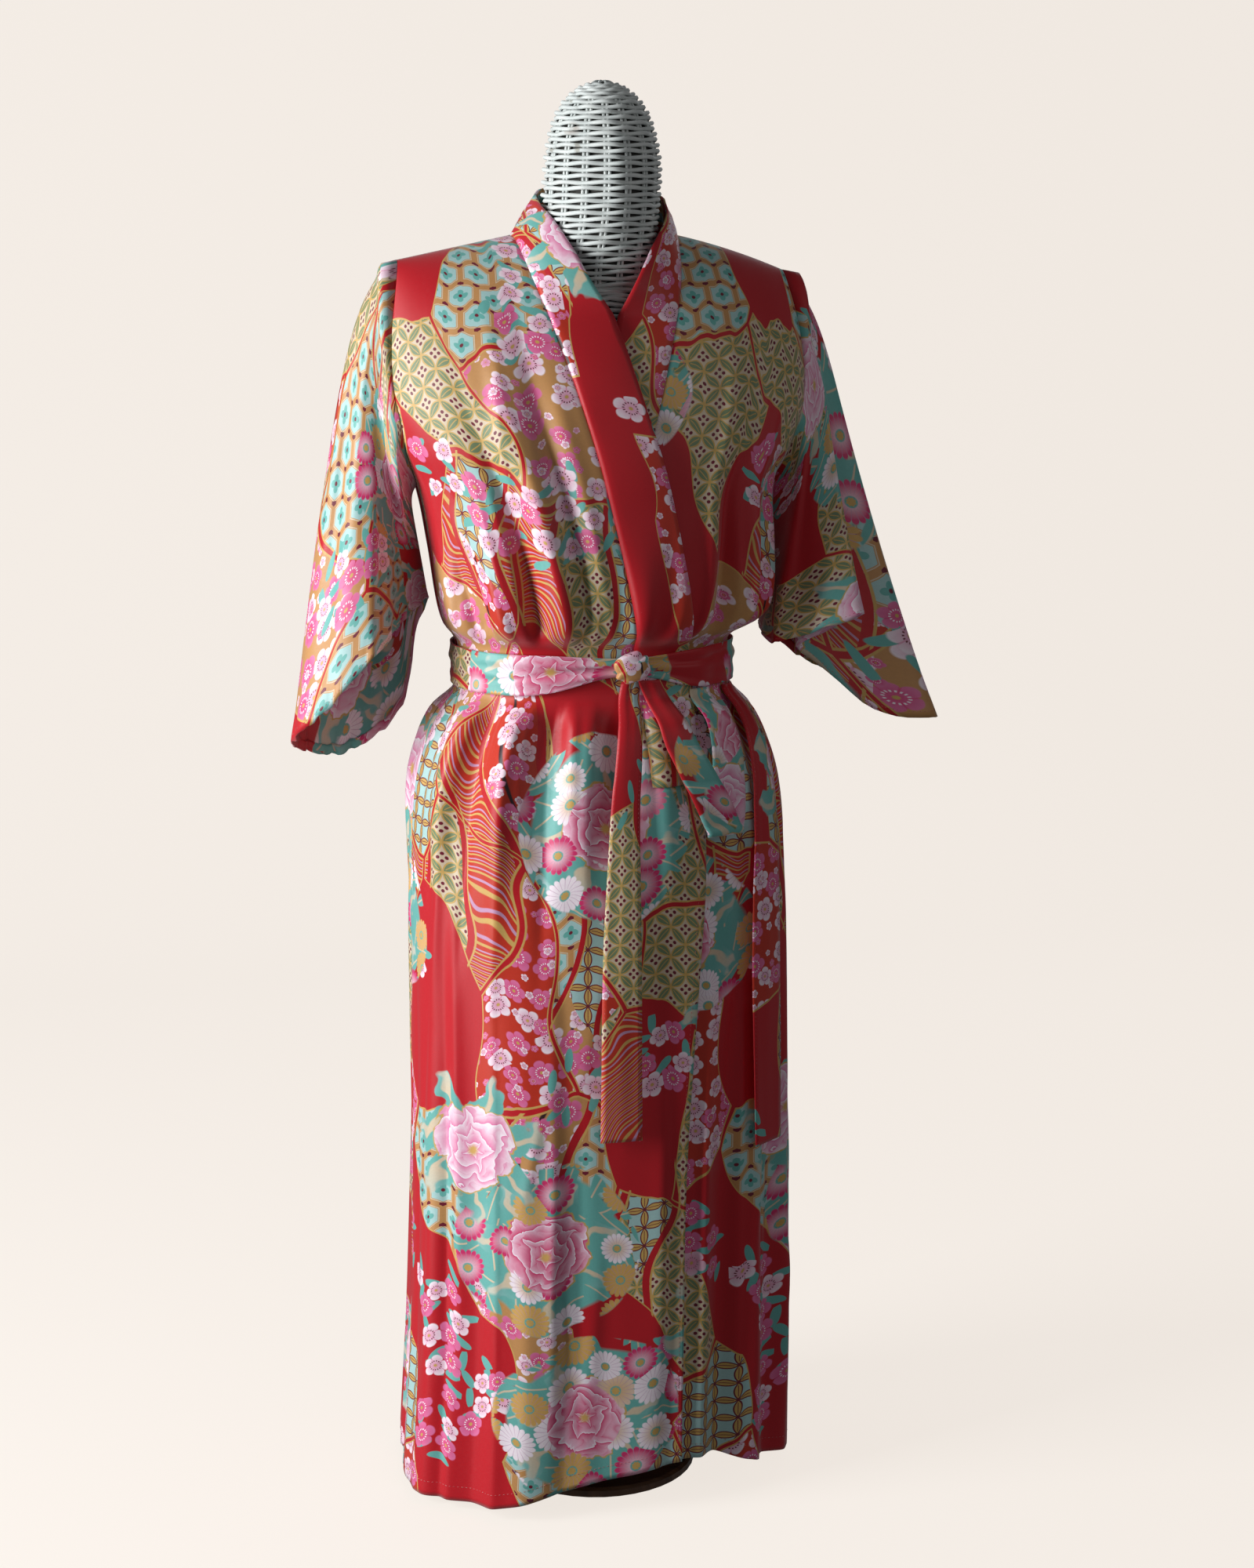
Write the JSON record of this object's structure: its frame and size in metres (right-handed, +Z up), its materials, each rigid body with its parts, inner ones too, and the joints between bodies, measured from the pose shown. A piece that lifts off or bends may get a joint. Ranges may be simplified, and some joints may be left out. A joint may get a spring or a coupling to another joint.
{
  "type": "kimono robe on dress form",
  "caption": "Long wrap-over cotton robe with wide bag sleeves, a stand-up collar band and a tied narrow sash, worn by a limbless wicker dress form on a post and round base.",
  "frame": {"origin": "centre of the round base's underside, on the floor below the middle of the form", "axes": "+Z up along the form, -Y towards the front opening of the robe, +X to the wearer's left"},
  "size_m": [0.6822, 0.3182, 1.479],
  "materials": {
    "robe_cloth": "printed plain-weave cloth with a slight sateen sheen",
    "sash_cloth": "the robe's printed cloth, folded double",
    "wicker": "woven cane painted a worn white-grey",
    "stand_wood": "satin stained wood"
  },
  "bodies": {
    "root": {"front_right": "robe_cloth", "front_left": "robe_cloth", "back": "robe_cloth", "collar_band": "robe_cloth", "sleeve_right": "robe_cloth", "sleeve_left": "robe_cloth", "sash_belt": "sash_cloth", "sash_knot": "sash_cloth", "sash_tail_centre": "sash_cloth", "sash_tail_side": "sash_cloth", "sash_loop": "sash_cloth", "form_body": "wicker", "form_post": "stand_wood", "form_base": "stand_wood"}
  },
  "joints": []
}
